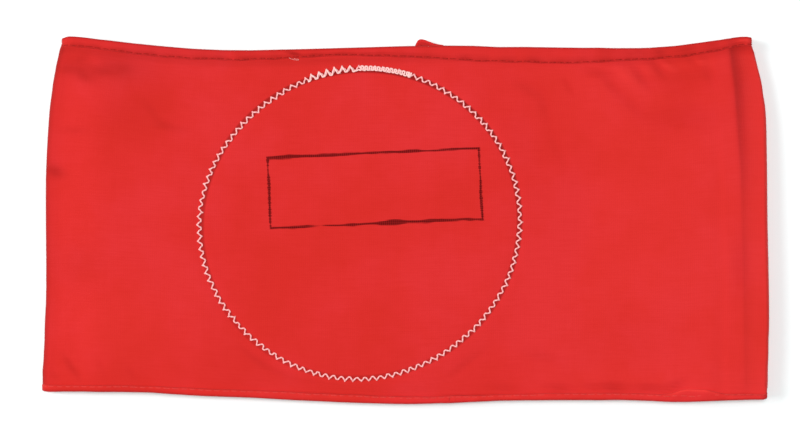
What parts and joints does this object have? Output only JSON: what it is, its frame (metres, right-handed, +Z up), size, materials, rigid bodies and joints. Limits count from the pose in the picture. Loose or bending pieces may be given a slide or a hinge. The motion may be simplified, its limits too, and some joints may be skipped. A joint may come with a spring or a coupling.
{
  "type": "armband",
  "caption": "Closed cloth loop worn round the upper arm, turned inside out and lying flat, with narrow turned hems, a joining seam behind and a ring of zigzag stitching.",
  "frame": {"origin": "under the middle of the armband's outline, on the surface that it lies on", "axes": "+X from the left fold to the right fold, +Y from the bottom mouth to the top mouth, the way the arm goes through, +Z up out of the front layer"},
  "size_m": [0.2114, 0.107, 0.0094],
  "materials": {
    "red_cotton": "matt plain-woven cotton, dyed through",
    "red_thread": "soft spun sewing thread of the hems and the joining seam",
    "white_thread": "soft spun sewing thread of the zigzag ring"
  },
  "bodies": {
    "root": {"band": "red_cotton", "top_hem": "red_cotton", "bottom_hem": "red_cotton", "seam_allowance": "red_cotton"}
  },
  "joints": []
}
